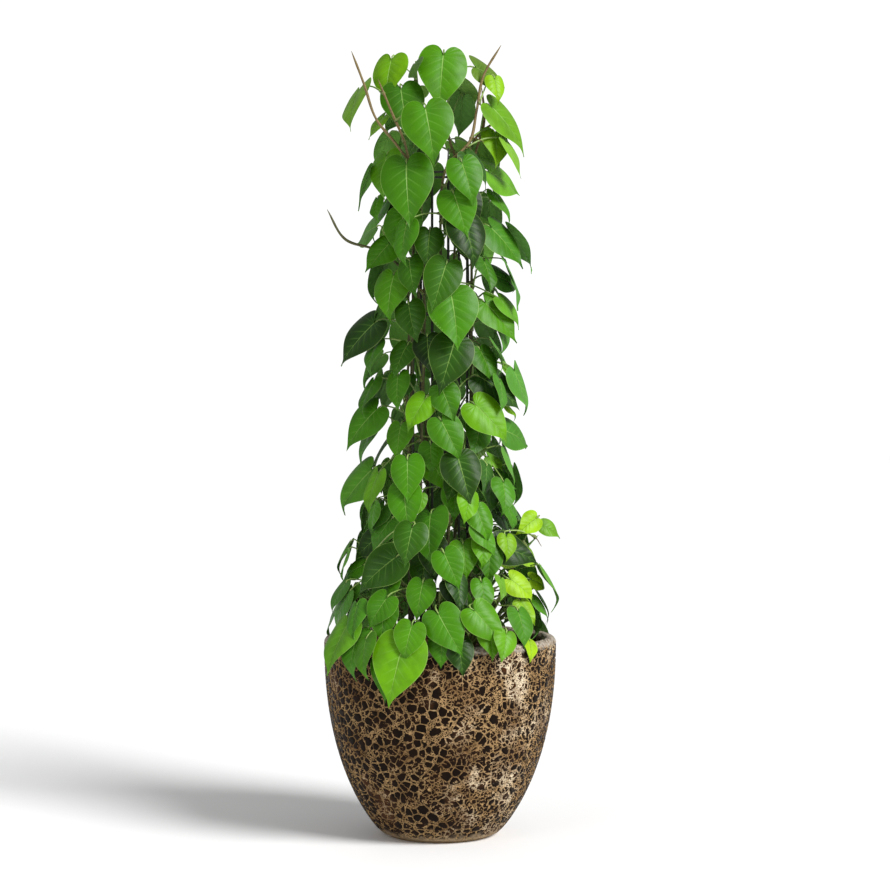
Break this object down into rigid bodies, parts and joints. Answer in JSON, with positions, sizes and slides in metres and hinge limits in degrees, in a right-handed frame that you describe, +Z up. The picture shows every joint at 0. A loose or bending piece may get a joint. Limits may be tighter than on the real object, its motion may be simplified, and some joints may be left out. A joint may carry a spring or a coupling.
{
  "type": "potted heartleaf philodendron",
  "caption": "Tall column of climbing heart-leaved vines with a wide skirt of leaves, growing from potting mix in a round glazed planter.",
  "frame": {"origin": "centre of the planter's flat base, on the surface that it stands on", "axes": "+Z up along the planter and the column, -Y towards the show side, +X to the right of it"},
  "size_m": [0.4095, 0.4615, 1.3626],
  "materials": {
    "glaze": "dark brown blistered glaze over tan and cream",
    "mix": "dark crumbly bark and peat",
    "wire": "dark green coated wire",
    "foliage": "smooth semi-gloss green leaves on brown and green stems",
    "young_foliage": "smooth semi-gloss lighter green leaves"
  },
  "bodies": {
    "root": {"planter": "glaze", "potting_mix": "mix", "column_upright_1": "wire", "column_upright_2": "wire", "column_upright_3": "wire", "column_upright_4": "wire", "column_upright_5": "wire", "column_upright_6": "wire", "column_hoop_1": "wire", "column_hoop_2": "wire", "column_hoop_3": "wire", "column_hoop_4": "wire", "vine_front_left": "foliage", "vine_front_right": "foliage", "vine_right": "foliage", "vine_back_right": "foliage", "vine_back": "foliage", "vine_back_left": "foliage", "vine_far_left": "foliage", "vine_left": "foliage", "shoot_front": "young_foliage", "shoot_front_right": "young_foliage", "shoot_right": "young_foliage", "shoot_right_low": "young_foliage", "shoot_back_right": "young_foliage", "shoot_back": "young_foliage", "shoot_back_left": "young_foliage", "shoot_left_low": "young_foliage", "shoot_left": "young_foliage", "shoot_front_left": "young_foliage"}
  },
  "joints": []
}
